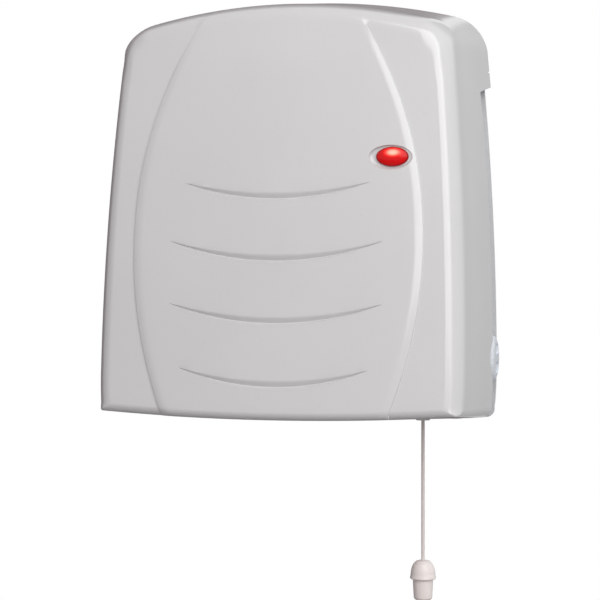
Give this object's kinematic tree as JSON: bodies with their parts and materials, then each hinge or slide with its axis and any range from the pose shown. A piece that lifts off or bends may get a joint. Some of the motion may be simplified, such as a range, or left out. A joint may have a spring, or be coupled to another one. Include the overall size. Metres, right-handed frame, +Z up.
{
  "type": "bathroom wall fan heater",
  "caption": "Wall fan heater with a domed rounded cover, curved grooves, red neon, underside outlet, side thermostat knob and a pull cord.",
  "frame": {"origin": "centre of the four wall screw holes, on the wall face", "axes": "+Y points into the wall, the front faces -Y, +X is the viewer's right, +Z is up"},
  "size_m": [0.2558, 0.1233, 0.3985],
  "materials": {
    "cover_plastic": "satin",
    "grille_plastic": "satin",
    "red_lens": "gloss",
    "lamp_glass": "gloss",
    "black_plastic": "matte",
    "galvanised": "satin",
    "painted_steel": "satin",
    "bright_sheet": "gloss",
    "fan_metal": "satin",
    "steel": "satin",
    "lamination": "matte",
    "copper": "gloss",
    "brass": "satin",
    "mica": "matte",
    "wire": "satin",
    "cream_plastic": "satin",
    "cord": "matte",
    "white_plastic": "satin",
    "knob_plastic": "satin"
  },
  "bodies": {
    "chassis": {"back_plate": "painted_steel", "front_cover": "cover_plastic", "neon_lens": "red_lens", "neon_lamp": "lamp_glass", "neon_holder": "black_plastic", "outlet_grille": "grille_plastic", "scroll_sheet": "galvanised", "tongue_sheet": "galvanised", "end_plate_left": "galvanised", "end_plate_right": "galvanised", "heat_shield": "bright_sheet", "end_bearing": "brass", "motor_stator": "lamination", "motor_coil": "copper", "motor_bridge_front": "brass", "motor_bridge_rear": "brass", "motor_screws": "steel", "motor_spacers": "steel", "element_boards": "mica", "element_end_boards": "mica", "element_wire": "wire", "thermal_cutout": "black_plastic", "thermal_fuse": "cream_plastic", "thermostat_body": "white_plastic", "thermostat_nut": "brass", "thermostat_bracket": "galvanised", "switch_body": "white_plastic", "switch_bracket": "galvanised", "switch_spring": "steel", "cord_guide": "white_plastic", "terminal_block": "white_plastic", "terminal_screws": "brass", "cord_clamp": "white_plastic", "clamp_screws": "steel", "cable_grommet": "black_plastic", "earth_tag": "brass", "earth_screw": "brass", "cover_screws": "steel", "housing_screws": "steel", "grille_screws": "steel", "bracket_screws": "steel"},
    "fan": {"fan_wheel": "fan_metal", "fan_shaft": "steel", "motor_rotor": "lamination"},
    "knob": {"thermostat_knob": "knob_plastic", "thermostat_spindle": "steel"},
    "pull": {"switch_plunger": "cream_plastic", "pull_cord": "cord", "cord_bell": "cream_plastic", "cord_plug": "cream_plastic"}
  },
  "joints": [
    {"name": "fan_spin", "type": "hinge", "parent": "chassis", "child": "fan", "pos_m": [0, -0.06, -0.024], "axis": [1, 0, 0], "continuous": true},
    {"name": "knob_turn", "type": "hinge", "parent": "chassis", "child": "knob", "pos_m": [0.1244, -0.0182, -0.099], "axis": [1, 0, 0], "range_deg": [0, 270]},
    {"name": "cord_pull", "type": "slide", "parent": "chassis", "child": "pull", "axis": [0, 0, -1], "range_m": [0, 0.008], "stiffness_N_per_m": 600, "deforming": ["switch_spring"]}
  ]
}
